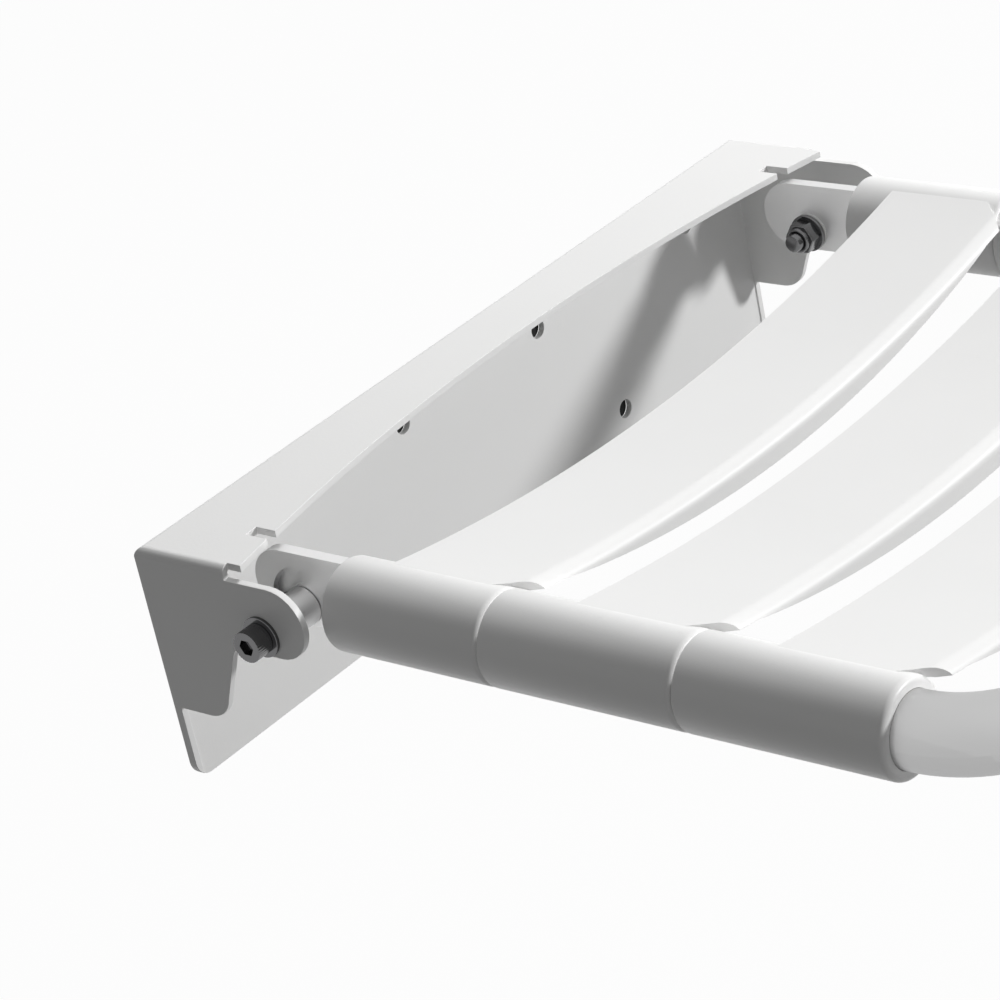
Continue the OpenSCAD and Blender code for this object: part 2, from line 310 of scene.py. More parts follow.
def turned_copy(source: bpy.types.Object, piece_name: str, centre: tuple[float, float, float]) -> bpy.types.Object:
    """Copies an object and gives the copy's mesh half a turn about an upright line, which needs no direction.

    Args:
        source: The object to copy.
        piece_name: The name of the copy.
        centre: A point of the line.

    Returns:
        The copy.
    """
    piece = copied(source, piece_name)
    open_whole(piece)
    bpy.ops.transform.rotate(value=math.pi, orient_axis="Z", center_override=place(*centre))
    leave_edit()
    return piece


def softened_copy(
        node: str, piece_name: str, width: float, merge: float = 0.002, level: float = 0.1) -> bpy.types.Object:
    """Copies a CAD node, merges its loose triangles into flat faces and rounds its edges.

    Args:
        node: The CAD node.
        piece_name: The name of the copy.
        width: The rounding's width in millimetres.
        merge: The distance under which points are one, in millimetres.
        level: Faces that meet at less than this many degrees become one.

    Returns:
        The rounded copy.
    """
    piece = copied(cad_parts[node], piece_name)
    piece.data.materials.clear()
    open_whole(piece)
    bpy.ops.mesh.remove_doubles(threshold=m(merge))
    bpy.ops.mesh.dissolve_limited(angle_limit=math.radians(level))
    leave_edit()
    soften(piece, width)
    return piece


# Finishes


@dataclass(frozen=True)
class Finish:
    """A finish whose grain and colour drift come from noise on Object coordinates.

    Attributes:
        title: The material's name.
        colour: Its base colour.
        metallic: 1 for bare metal, 0 for coats and plastics.
        roughness: Its mean roughness.
        drift: How far the colour strays to either side.
        grain_scale: How many grains there are to a metre.
        grain_depth: How deep the grain is.
        rough_drift: How far the roughness strays to either side.
        cloud_scale: How many clouds of colour and roughness there are to a metre.
        cloud_detail: How finely the clouds are broken up.
        cloud_low: The noise level that has the darkest colour.
        cloud_high: The noise level that has the palest colour.
        grain_detail: How finely the grain is broken up.
    """

    title: str
    colour: tuple[float, float, float]
    metallic: float
    roughness: float
    drift: float
    grain_scale: float
    grain_depth: float
    rough_drift: float = 0.05
    cloud_scale: float = 9.0
    cloud_detail: float = 3.0
    cloud_low: float = 0.3
    cloud_high: float = 0.7
    grain_detail: float = 2.0

    def material(self) -> bpy.types.Material:
        """Builds the material, or returns it if it is there already.

        Returns:
            The material.
        """
        made = bpy.data.materials.get(self.title)
        if made:
            return made
        made = bpy.data.materials.new(self.title)
        made.use_nodes = True
        tree = made.node_tree
        shader = tree.nodes["Principled BSDF"]
        shader.inputs["Metallic"].default_value = self.metallic
        spot = tree.nodes.new("ShaderNodeTexCoord").outputs["Object"]
        self.add_colour(tree, shader, spot)
        self.add_grain(tree, shader, spot)
        return made

    def add_colour(self, tree: bpy.types.NodeTree, shader: bpy.types.Node, spot: bpy.types.NodeSocket) -> None:
        """Lets the colour and the roughness drift a little over the piece.

        Args:
            tree: The material's nodes.
            shader: The surface shader.
            spot: Gives Object coordinates.
        """
        cloud = tree.nodes.new("ShaderNodeTexNoise")
        cloud.inputs["Scale"].default_value = self.cloud_scale
        cloud.inputs["Detail"].default_value = self.cloud_detail
        tree.links.new(spot, cloud.inputs["Vector"])
        ramp = tree.nodes.new("ShaderNodeValToRGB")
        low, high = ramp.color_ramp.elements
        low.position, high.position = self.cloud_low, self.cloud_high
        low.color = (*(max(0.0, c - self.drift) for c in self.colour), 1.0)
        high.color = (*(min(1.0, c + self.drift) for c in self.colour), 1.0)
        tree.links.new(cloud.outputs["Fac"], ramp.inputs["Fac"])
        tree.links.new(ramp.outputs["Color"], shader.inputs["Base Color"])
        rough = tree.nodes.new("ShaderNodeMapRange")
        rough.inputs["To Min"].default_value = self.roughness - self.rough_drift
        rough.inputs["To Max"].default_value = self.roughness + self.rough_drift
        tree.links.new(cloud.outputs["Fac"], rough.inputs["Value"])
        tree.links.new(rough.outputs["Result"], shader.inputs["Roughness"])

    def add_grain(self, tree: bpy.types.NodeTree, shader: bpy.types.Node, spot: bpy.types.NodeSocket) -> None:
        """Raises the fine grain of the surface as a bump.

        Args:
            tree: The material's nodes.
            shader: The surface shader.
            spot: Gives Object coordinates.
        """
        grain = tree.nodes.new("ShaderNodeTexNoise")
        grain.inputs["Scale"].default_value = self.grain_scale
        grain.inputs["Detail"].default_value = self.grain_detail
        tree.links.new(spot, grain.inputs["Vector"])
        bump = tree.nodes.new("ShaderNodeBump")
        bump.inputs["Strength"].default_value = 1.0
        bump.inputs["Distance"].default_value = m(self.grain_depth)
        tree.links.new(grain.outputs["Fac"], bump.inputs["Height"])
        tree.links.new(bump.outputs["Normal"], shader.inputs["Normal"])


POWDER_COAT = Finish(
    "powder_coat", (0.84, 0.84, 0.835), metallic=0.0, roughness=0.42, drift=0.012,
    grain_scale=700.0, grain_depth=0.03)
MOULDED_SLAT = Finish(
    "moulded_slat", (0.85, 0.85, 0.845), metallic=0.0, roughness=0.36, drift=0.012,
    grain_scale=1600.0, grain_depth=0.012)
SATIN_STEEL = Finish(
    "satin_steel", (0.56, 0.56, 0.56), metallic=1.0, roughness=0.50, drift=0.02,
    grain_scale=900.0, grain_depth=0.006)
# Painted reflection: this steel's near-black colour stands in for the dark surroundings that polished steel mirrors.
STEEL_PAINTED_DARK = Finish(
    "bright_steel", (0.13, 0.13, 0.133), metallic=1.0, roughness=0.17, drift=0.03,
    grain_scale=1200.0, grain_depth=0.004)
LUG_STEEL = Finish(
    "lug_steel", (0.80, 0.80, 0.80), metallic=1.0, roughness=0.40, drift=0.02,
    grain_scale=900.0, grain_depth=0.008)
BUSH_PLASTIC = Finish(
    "bush_plastic", (0.75, 0.75, 0.74), metallic=0.0, roughness=0.40, drift=0.015,
    grain_scale=1400.0, grain_depth=0.01)


def dress(piece: bpy.types.Object, finish: Finish) -> None:
    """Gives a piece one finish all over.

    Args:
        piece: The object to dress.
        finish: Its finish.
    """
    made = finish.material()
    if piece.material_slots:
        for slot in piece.material_slots:
            slot.material = made
    else:
        piece.data.materials.append(made)


def hand_over(piece: bpy.types.Object, body: Body, node: str) -> None:
    """Lets a finished piece ride on its body in place of its CAD node.

    Args:
        piece: The finished piece.
        body: The body it moves with.
        node: The CAD node it stands for.
    """
    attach(piece, body.value)
    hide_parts(node)
    log.info("%s rides on %s, %d faces", piece.name, body.value, len(piece.data.polygons))


# The bracket and its pivots


@dataclass
class Bracket:
    """The folded sheet on the wall.

    Attributes:
        edge_round: The rounding of the sheet's edges.
    """

    edge_round: float = 0.55

    def build(self) -> None:
        """Makes the bracket with rounded sheet edges."""
        shell = softened_copy("wall_bracket", "bracket_shell", self.edge_round)
        dress(shell, POWDER_COAT)
        hand_over(shell, Body.BRACKET, "wall_bracket")


@dataclass
class Pivots:
    """The cap screws, washers and nuts of the two pivots, modelled on the right and turned to the left.

    Attributes:
        out: The pivot axis's distance from the wall.
        height: The pivot axis's height.
        ear_x: The outer face of the bracket's ear, which the outer washer lies on.
        washer_t: The outer washer's thickness.
        washer_round: The rounding of the washers' edges.
        head_d: The screw head's diameter.
        head_h: The screw head's height.
        head_round: The rounding of the head's edges.
        head_crease: The angle for the head.
        head_ring: The width of the smooth ring round the head's end faces.
        socket_af: The socket's width across the flats.
        socket_depth: The socket's depth.
        shank_d: The shank's diameter.
        shank_chamfer: The chamfer at the shank's tip.
        shank_crease: The angle for the shank.
        tip_x: Where the shank ends.
        nut_x: The nut's face on the inner washer.
        nut_af: The nut's width across the flats.
        nut_hex: The height of its hexagon.
        nut_round: The rounding of the hexagon's edges.
        nut_crease: The angle for the nut.
        collar_d: The collar's diameter.
        collar_h: How far the collar stands out of the hexagon.
        collar_wall: The collar's wall.
        collar_round: The rounding of the collar's rim.
        collar_steps: How many faces make that rounding.
        collar_sink: How far the collar reaches into the hexagon.
        knurls: How many ridges the head has.
        knurl_depth: How deep the valleys between them are.
        corners: How many corners the shank and the collar have.
    """

    out: float = 61.0
    height: float = 25.7
    ear_x: float = 200.0
    washer_t: float = 1.6
    washer_round: float = 0.25
    head_d: float = 13.0
    head_h: float = 8.0
    head_round: float = 0.3
    head_crease: float = 50.0
    head_ring: float = 0.7
    socket_af: float = 6.0
    socket_depth: float = 4.0
    shank_d: float = 8.0
    shank_chamfer: float = 0.8
    shank_crease: float = 30.0
    tip_x: float = 155.7
    nut_x: float = 167.2
    nut_af: float = 13.0
    nut_hex: float = 6.0
    nut_round: float = 0.5
    nut_crease: float = 40.0
    collar_d: float = 11.6
    collar_h: float = 2.0
    collar_wall: float = 1.6
    collar_round: float = 0.6
    collar_steps: int = 3
    collar_sink: float = 0.2
    knurls: int = 36
    knurl_depth: float = 0.25
    corners: int = 48

    def bar(self, radius: float, near: float, far: float, corners: int) -> bpy.types.Object:
        """Adds a cylinder along the pivot axis.

        Args:
            radius: Its radius.
            near: Its end nearer the seat's middle.
            far: Its other end.
            corners: How many corners it has.

        Returns:
            The cylinder.
        """
        return rod("bar", Axis.X, radius, far - near, ((near + far) / 2, -self.out, self.height), corners)

    def hexagon(self, across: float, near: float, far: float) -> bpy.types.Object:
        """Adds a hexagon bar along the pivot axis.

        Args:
            across: Its width across the flats.
            near: Its end nearer the seat's middle.
            far: Its other end.

        Returns:
            The bar.
        """
        return self.bar(across / 2 / math.cos(math.pi / 6), near, far, 6)

    def screw(self) -> bpy.types.Object:
        """Models the cap screw with its knurled head, socket and shank.

        Returns:
            The screw.
        """
        seat = self.ear_x + self.washer_t
        top = seat + self.head_h
        head = self.bar(self.head_d / 2, seat, top, 2 * self.knurls)
        pick(head, Pick.FACES, lambda face: abs(face.normal.x) > FACING)
        bpy.ops.mesh.inset(thickness=m(self.head_ring), depth=0.0)
        leave_edit()
        self.press_knurls(head)
        carve(head, self.hexagon(self.socket_af, top - self.socket_depth, top + CUT_MARGIN))
        soften(head, self.head_round, angle=self.head_crease)
        shank = self.bar(self.shank_d / 2, self.tip_x, seat, self.corners)
        pick(shank, Pick.FACES, lambda face: abs(face.normal.x) > FACING)
        bpy.ops.mesh.bevel(offset=m(self.shank_chamfer), segments=2, affect="EDGES")
        leave_edit()
        bpy.ops.object.shade_smooth_by_angle(angle=math.radians(self.shank_crease))
        return join([head, shank], "cap_screw_right")

    def press_knurls(self, head: bpy.types.Object) -> None:
        """Pulls in every second corner of the head's wall, which leaves fine ridges along it.

        Args:
            head: The screw head.
        """
        axis = Vector(place(0, -self.out, self.height))
        rim = m(self.head_d / 2) - m(NEAR)

        def in_valley(corner: bmesh.types.BMVert) -> bool:
            """Says whether a corner of the wall lies in a valley."""
            arm = corner.co - axis
            turn = math.atan2(arm.z, arm.y) / math.pi * self.knurls
            return math.hypot(arm.y, arm.z) > rim and round(turn) % 2 == 1

        pick(head, Pick.POINTS, in_valley)
        share = 1 - self.knurl_depth / (self.head_d / 2)
        bpy.ops.transform.resize(value=(1.0, share, share), center_override=tuple(axis))
        leave_edit()

    def nut(self) -> bpy.types.Object:
        """Models the lock nut: a rounded hexagon and a round collar.

        Returns:
            The nut.
        """
        base = self.nut_x - self.nut_hex
        hexagon = self.hexagon(self.nut_af, base, self.nut_x)
        soften(hexagon, self.nut_round, angle=self.nut_crease)
        collar = self.bar(self.collar_d / 2, base - self.collar_h, base + self.collar_sink, self.corners)
        pick(collar, Pick.FACES, lambda face: abs(face.normal.x) > FACING)
        bpy.ops.mesh.inset(thickness=m(self.collar_wall), depth=0.0)
        bpy.ops.mesh.delete(type="FACE")
        leave_edit()
        pick(collar, Pick.EDGES, lambda edge: len(edge.link_faces) == 1)
        bpy.ops.mesh.bridge_edge_loops()
        leave_edit()
        clean(collar)
        soften(collar, self.collar_round, self.collar_steps, self.nut_crease)
        return join([hexagon, collar], "nut_right")

    def build(self) -> None:
        """Makes and hands over the pieces of both pivots."""
        middle = (0.0, -self.out, self.height)
        for right, node in ((self.screw(), "pivot_bolt"), (self.nut(), "lock_nut")):
            left = turned_copy(right, right.name.replace("right", "left"), middle)
            for side, piece in ((Side.LEFT, left), (Side.RIGHT, right)):
                # The screws and nuts get the steel whose near-black colour is painted reflection.
                dress(piece, STEEL_PAINTED_DARK)
                hand_over(piece, Body.BRACKET, f"{node}_{side.word}")
        for side in Side:
            for layer in ("outer", "inner"):
                node = f"{layer}_washer_{side.word}"
                ring = softened_copy(node, f"{layer}_ring_{side.word}", self.washer_round)
                dress(ring, STEEL_PAINTED_DARK)
                hand_over(ring, Body.BRACKET, node)


# The seat


@dataclass
class Lug:
    """A flat lug at one rear end of the tube.

    Attributes:
        side: The end it is at.
        edge_round: The rounding of its edges.
    """

    side: Side
    edge_round: float = 0.7

    def build(self) -> None:
        """Makes the lug with rounded plate edges."""
        node = f"lug_{self.side.word}"
        plate = softened_copy(node, f"lug_plate_{self.side.word}", self.edge_round)
        dress(plate, LUG_STEEL)
        hand_over(plate, Body.SEAT, node)


@dataclass
class Slats:
    """The three moulded slats: sagging strips with a rounded, arched front and a sleeve at each end.

    Attributes:
        sleeve_start: Where the rear slat's sleeves start.
        first_seam: The middle of the gap between the rear and the middle slat's sleeves.
        pitch: The distance from slat to slat.
        rail_x: How far the tube's sides are from the middle.
        rail_z: The height of the tube's middle.
        sleeve_r: A sleeve's outer radius.
        sleeve_corners: How many corners a sleeve has.
        bore_r: A sleeve's inner radius.
        blend_in: How far below the sleeve's top a strip's top meets it.
        low: How far above the tube's middle a strip's top is at its lowest.
        width: A strip's flat width.
        setback: How far behind the seam a strip's flat ends.
        seam_gap: The gap between two sleeves.
        thickness: A strip's thickness.
        front_r: The radius of the rounded front.
        front_steps: How many faces make it.
        apron: How deep the front reaches at the middle.
        apron_inset: How far from the tube's sides the arch under the front ends.
        arch_corners: How many corners the rods have that the arch is cut with.
        end_lip: How much deeper than the strip the front is beyond the arch.
        overhang_gap: How far from the sleeves the front starts to run out.
        taper: How long it takes to run out.
        rear_lip: How deep the lip at the rear reaches.
        edge_round: The rounding of the strip's edges.
        edge_crease: The angle for the strip.
        smooth_crease: The angle for the finished slat's shading.
        lip_front: The rounding of a sleeve's front rim.
        lip_front_steps: How many faces make it.
        lip_rear: The rounding of a sleeve's rear rim.
        lip_rear_steps: How many faces make it.
        screw_back: How far behind the seam the sleeve's screw is.
        screw_seat_r: The radius of the screw's seat.
        screw_r: The radius of the screw's hole.
        screw_sink: How deep the seat is.
        screw_corners: How many corners the seat and the hole have.
        sweep_steps: How many faces a strip has along the sag.
        fields: How many faces the strip's flat has across.
        arc_r: The radius of the sag.
        arc_z: The height of the sag's axis.
        half_angle: The angle that the sag covers on either side, in radians.
    """

    sleeve_start: float = 88.8
    first_seam: float = 163.6
    pitch: float = 86.9
    rail_x: float = 176.7
    rail_z: float = 32.4
    sleeve_r: float = 18.4
    sleeve_corners: int = 128
    bore_r: float = 14.15
    blend_in: float = 0.15
    low: float = 1.1
    width: float = 55.4
    setback: float = 0.6
    seam_gap: float = 0.2
    thickness: float = 3.5
    front_r: float = 6.0
    front_steps: int = 10
    apron: float = 11.5
    apron_inset: float = 29.5
    arch_corners: int = 720
    end_lip: float = 0.4
    overhang_gap: float = 1.0
    taper: float = 13.0
    rear_lip: float = 7.0
    edge_round: float = 0.6
    edge_crease: float = 40.0
    smooth_crease: float = 35.0
    lip_front: float = 2.4
    lip_front_steps: int = 6
    lip_rear: float = 1.0
    lip_rear_steps: int = 3
    screw_back: float = 30.0
    screw_seat_r: float = 4.0
    screw_r: float = 2.05
    screw_sink: float = 2.4
    screw_corners: int = 40
    sweep_steps: int = 96
    fields: int = 6
    arc_r: float = field(init=False)
    arc_z: float = field(init=False)
    half_angle: float = field(init=False)

    def __post_init__(self) -> None:
        """Works out the arc that the slats' tops follow."""
        blend = self.sleeve_r - self.blend_in
        self.arc_r = (self.rail_x**2 + self.low**2 - blend**2) / (2 * (blend - self.low))
        self.arc_z = self.rail_z + self.low + self.arc_r
        self.half_angle = math.asin(self.rail_x / (self.arc_r + blend))

    @property
    def rear(self) -> float:
        """The rear strip's rear edge."""
        return self.first_seam - self.setback - self.width + self.seam_gap

    @property
    def front(self) -> float:
        """Where the rear strip's front starts to curve down."""
        return self.rear + self.width

    def strip(self) -> bpy.types.Object:
        """Models the rear slat's strip between the sleeves, spun along the sag's arc.

        Returns:
            The strip.
        """
        strip = self.section()
        self.sweep(strip)
        self.arch_front(strip)
        self.taper_ends(strip)
        soften(strip, self.edge_round, angle=self.edge_crease)
        return strip

    def section(self) -> bpy.types.Object:
        """Models the strip's flat section, with its rounded front and its rear lip.

        Returns:
            The section, at X = 0.
        """
        top = self.arc_z - self.arc_r
        bpy.ops.object.select_all(action="DESELECT")
        bpy.ops.mesh.primitive_plane_add(
            size=1.0, location=place(0, -(self.rear + self.width / 2), top - self.thickness / 2),
            rotation=(0.0, math.pi / 2, 0.0))
        section = bpy.context.active_object
        section.scale = (m(self.thickness), m(self.width), 1.0)
        section = named("strip")
        near = m(NEAR)
        front_y = -m(self.front)
        pick(section, Pick.EDGES, lambda edge: all(abs(v.co.y - front_y) < near for v in edge.verts))
        bpy.ops.mesh.spin(
            steps=self.front_steps, angle=-math.pi / 2, axis=(1, 0, 0),
            center=place(0, -self.front, top - self.front_r))
        leave_edit()
        end_z = m(top - self.front_r)
        pick(section, Pick.EDGES, lambda edge: all(abs(v.co.z - end_z) < near for v in edge.verts))
        bpy.ops.mesh.extrude_region_move(
            TRANSFORM_OT_translate={"value": (0.0, 0.0, -m(self.apron - self.front_r))})
        leave_edit()
        lip_y = -m(self.rear + self.thickness)
        open_whole(section)
        bpy.ops.mesh.bisect(plane_co=(0, lip_y, 0), plane_no=(0, 1, 0))
        leave_edit()
        under_z = m(top - self.thickness)
        pick(section, Pick.EDGES, lambda edge: all(
            abs(v.co.z - under_z) < near and v.co.y > lip_y - near for v in edge.verts))
        bpy.ops.mesh.extrude_region_move(
            TRANSFORM_OT_translate={"value": (0.0, 0.0, -m(self.rear_lip - self.thickness))})
        leave_edit()
        self.divide_top(section, lip_y, front_y)
        return section

    def divide_top(self, section: bpy.types.Object, rear_y: float, front_y: float) -> None:
        """Cuts the flat section into a few fields, so that the swept strip has even faces.

        Args:
            section: The flat section.
            rear_y: Where the fields start, in metres.
            front_y: Where they end, in metres.
        """
        for step in range(1, self.fields):
            y = rear_y + (front_y - rear_y) * step / self.fields
            open_whole(section)
            bpy.ops.mesh.bisect(plane_co=(0, y, 0), plane_no=(0, 1, 0))
            leave_edit()

    def sweep(self, strip: bpy.types.Object) -> None:
        """Spins the flat section from the left rail to the right one about the sag's axis.

        Args:
            strip: The flat section at X = 0.
        """
        centre = place(0, 0, self.arc_z)
        pick(strip, Pick.FACES, lambda face: True)
        bpy.ops.transform.rotate(value=-self.half_angle, orient_axis="Y", center_override=centre)
        bpy.ops.mesh.spin(
            steps=self.sweep_steps, angle=2 * self.half_angle, axis=(0, 1, 0), center=centre)
        leave_edit()
        clean(strip)

    def arch_front(self, strip: bpy.types.Object) -> None:
        """Cuts the rounded front shorter towards the rails, so that its lower edge is an arch.

        A block goes from under the strip, less two long rods: one holds the strip with its end lip, one the arch.

        Args:
            strip: The swept strip.
        """
        half = self.rail_x - self.apron_inset
        end_r = self.arc_r + self.thickness + self.end_lip
        low_z = self.arc_z - self.arc_r - self.apron
        rise = self.arc_z - math.sqrt(end_r**2 - half**2) - low_z
        arch_r = (half**2 + rise**2) / (2 * rise)
        bottom, top = low_z - self.front_r, self.rail_z + 2 * self.sleeve_r
        depth = self.width + 4 * self.front_r
        middle = -(self.rear + self.width / 2)
        bpy.ops.object.select_all(action="DESELECT")
        bpy.ops.mesh.primitive_cube_add(size=1.0, location=place(0, middle, (bottom + top) / 2))
        block = bpy.context.active_object
        block.scale = place(2 * (self.rail_x + self.sleeve_r), depth, top - bottom)
        block = named("arch_block")
        for radius, centre_z in ((end_r, self.arc_z), (arch_r, low_z + arch_r)):
            carve(block, rod("kept", Axis.Y, radius, 2 * depth, (0.0, middle, centre_z), self.arch_corners))
        carve(strip, block)
        clean(strip, NEAR)

    def taper_ends(self, strip: bpy.types.Object) -> None:
        """Cuts the ends of the rounded front slantwise, so that they run out at the sleeves.

        Args:
            strip: The arched strip.
        """
        start = self.rail_x - self.sleeve_r - self.overhang_gap
        for side in Side:
            open_whole(strip)
            bpy.ops.mesh.bisect(
                plane_co=place(side.value * start, -(self.front + self.front_r), 0),
                plane_no=(side.value * self.front_r, -self.taper, 0.0), use_fill=True, clear_outer=True)
            leave_edit()
        clean(strip)

    def sleeve(self, start: float, seam: float) -> bpy.types.Object:
        """Models the sleeve round the left rail, with a full lip at its front and a fine one at its rear.

        Args:
            start: Where it starts.
            seam: The middle of the gap at its front.

        Returns:
            The sleeve.
        """
        end = seam - self.seam_gap / 2
        centre = (-self.rail_x, -(start + end) / 2, self.rail_z)
        sleeve = rod("sleeve", Axis.Y, self.sleeve_r, end - start, centre, self.sleeve_corners)
        pick(sleeve, Pick.FACES, lambda face: abs(face.normal.y) > FACING)
        bpy.ops.mesh.inset(thickness=m(self.sleeve_r - self.bore_r), depth=0.0)
        bpy.ops.mesh.delete(type="FACE")
        leave_edit()
        pick(sleeve, Pick.EDGES, lambda edge: len(edge.link_faces) == 1)
        bpy.ops.mesh.bridge_edge_loops()
        leave_edit()
        clean(sleeve)
        self.round_rim(sleeve, end, self.lip_front, self.lip_front_steps)
        self.round_rim(sleeve, start, self.lip_rear, self.lip_rear_steps)
        self.seat_screw(sleeve, seam)
        return sleeve

    def round_rim(self, sleeve: bpy.types.Object, out: float, width: float, steps: int) -> None:
        """Rounds the outer rim at one end of a sleeve.

        Args:
            sleeve: The sleeve round the left rail.
            out: The end's distance from the wall.
            width: The rounding's width.
            steps: How many faces make it.
        """
        rim = m(self.sleeve_r - NEAR)
        x, y, z = place(-self.rail_x, -out, self.rail_z)
        pick(sleeve, Pick.EDGES, lambda edge: all(
            abs(v.co.y - y) < m(NEAR) and math.hypot(v.co.x - x, v.co.z - z) > rim for v in edge.verts))
        bpy.ops.mesh.bevel(offset=m(width), segments=steps, affect="EDGES")
        leave_edit()

    def seat_screw(self, sleeve: bpy.types.Object, seam: float) -> None:
        """Cuts the seat and the hole of the screw that holds the sleeve from below.

        Args:
            sleeve: The sleeve round the left rail.
            seam: The middle of the gap at its front.
        """
        under = self.rail_z - self.sleeve_r
        bottom = under - CUT_MARGIN
        seat_top = under + self.screw_sink
        hole_top = self.rail_z - self.bore_r + 2 * CUT_MARGIN
        for radius, top in ((self.screw_seat_r, seat_top), (self.screw_r, hole_top)):
            centre = (-self.rail_x, self.screw_back - seam, (top + bottom) / 2)
            carve(sleeve, rod("screw_cutter", Axis.Z, radius, top - bottom, centre, self.screw_corners))

    def assemble(self, piece_name: str, strip: bpy.types.Object, start: float, seam: float) -> bpy.types.Object:
        """Adds the two sleeves to a strip.

        Args:
            piece_name: The slat's name.
            strip: Its strip.
            start: Where its sleeves start.
            seam: The middle of the gap at their front.

        Returns:
            The slat.
        """
        left = self.sleeve(start, seam)
        right = moved_copy(left, "right_sleeve", (2 * self.rail_x, 0.0, 0.0))
        slat = join([strip, left, right], piece_name)
        bpy.ops.object.shade_smooth_by_angle(angle=math.radians(self.smooth_crease))
        return slat

    def build(self) -> None:
        """Makes and hands over the slats. The strip is modelled once, and the front slat is the middle one again."""
        step = (0.0, -self.pitch, 0.0)
        strip = self.strip()
        next_strip = moved_copy(strip, "next_strip", step)
        second_start = self.first_seam + self.seam_gap / 2
        rear = self.assemble("moulded_slat_rear", strip, self.sleeve_start, self.first_seam)
        middle = self.assemble("moulded_slat_middle", next_strip, second_start, self.first_seam + self.pitch)
        front = moved_copy(middle, "moulded_slat_front", step)
        for node, slat in (("slat_rear", rear), ("slat_middle", middle), ("slat_front", front)):
            dress(slat, MOULDED_SLAT)
            hand_over(slat, Body.SEAT, node)


@dataclass
class CarriedNodes:
    """The CAD nodes that stay as they are and get a finish.

    Attributes:
        finishes: The nodes that get each finish.
    """

    finishes: dict[Finish, tuple[str, ...]]

    def build(self) -> None:
        """Dresses each node."""
        for finish, nodes in self.finishes.items():
            for node in nodes:
                dress(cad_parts[node], finish)
                log.info("%s keeps its solid, finish %s", node, finish.title)


# The studio


@dataclass
class Camera:
    """The camera of the photograph.

    Attributes:
        spot: Where it stands.
        azimuth: The side it stands on, in degrees from straight in front of the wall.
        elevation: How many degrees it looks down.
        roll: How many degrees it leans.
        focal_px: Its focal length in pixels of the photograph.
        image_px: The photograph's width in pixels.
        sensor: The width of Blender's sensor.
        far: How far it sees, in metres.
    """

    spot: tuple[float, float, float] = (-977.3, -947.8, 642.4)
    azimuth: float = -45.99
    elevation: float = 26.35
    roll: float = -12.22
    focal_px: float = 3537.6
    image_px: float = 1000.0
    sensor: float = 36.0
    far: float = 50.0

    def build(self) -> None:
        """Places the camera and makes it the scene's camera."""
        az, el, roll = (math.radians(v) for v in (self.azimuth, self.elevation, self.roll))
        back = Vector((math.sin(az) * math.cos(el), -math.cos(az) * math.cos(el), math.sin(el)))
        right = Vector((0, 0, 1)).cross(back).normalized()
        up = back.cross(right)
        turned_right = math.cos(roll) * right + math.sin(roll) * up
        turned_up = -math.sin(roll) * right + math.cos(roll) * up
        lens = bpy.data.cameras.new("photo_camera")
        lens.sensor_width = self.sensor
        lens.lens = self.focal_px / self.image_px * self.sensor
        lens.clip_end = self.far
        camera = bpy.data.objects.new("photo_camera", lens)
        bpy.context.scene.collection.objects.link(camera)
        pose = Matrix((turned_right, turned_up, back)).transposed().to_4x4()
        pose.translation = Vector(place(*self.spot))
        camera.matrix_world = pose
        bpy.context.scene.camera = camera


@dataclass
class Lamp:
    """A square soft lamp that points at the seat.

    Attributes:
        title: Its name.
        towards: The direction from the seat to the lamp.
        distance: Its distance from the seat in metres.
        size: Its width in metres.
        level: The share of a plain white that it gives a surface that faces it.
        aim: The point it shines at.
        spared: The pieces that throw no shadow from it.
        mirrored: Whether it shows in reflections.
    """

    title: str
    towards: tuple[float, float, float]
    distance: float
    size: float
    level: float
    aim: tuple[float, float, float] = (0.0, -180.0, 20.0)
    spared: tuple[str, ...] = ()
    mirrored: bool = True

    def build(self) -> None:
        """Places the lamp."""
        light = bpy.data.lights.new(self.title, "AREA")
        light.shape = "SQUARE"
        light.size = self.size
        light.energy = self.level * math.pi**2 * self.distance**2
        lamp = bpy.data.objects.new(self.title, light)
        bpy.context.scene.collection.objects.link(lamp)
        lamp.visible_glossy = self.mirrored
        direction = Vector(self.towards).normalized()
        lamp.location = Vector(place(*self.aim)) + direction * self.distance
        lamp.rotation_euler = direction.to_track_quat("Z", "Y").to_euler()
        self.spare(lamp)

    def spare(self, lamp: bpy.types.Object) -> None:
        """Lets the lamp's light pass some pieces, so that they throw no shadow from it.

        Args:
            lamp: The lamp.
        """
        if not self.spared:
            return
        passed = bpy.data.collections.new(f"{self.title}_passes")
        for title in self.spared:
            passed.objects.link(bpy.data.objects[title])
        lamp.light_linking.blocker_collection = passed
        for member in passed.collection_objects:
            member.light_linking.link_state = "EXCLUDE"


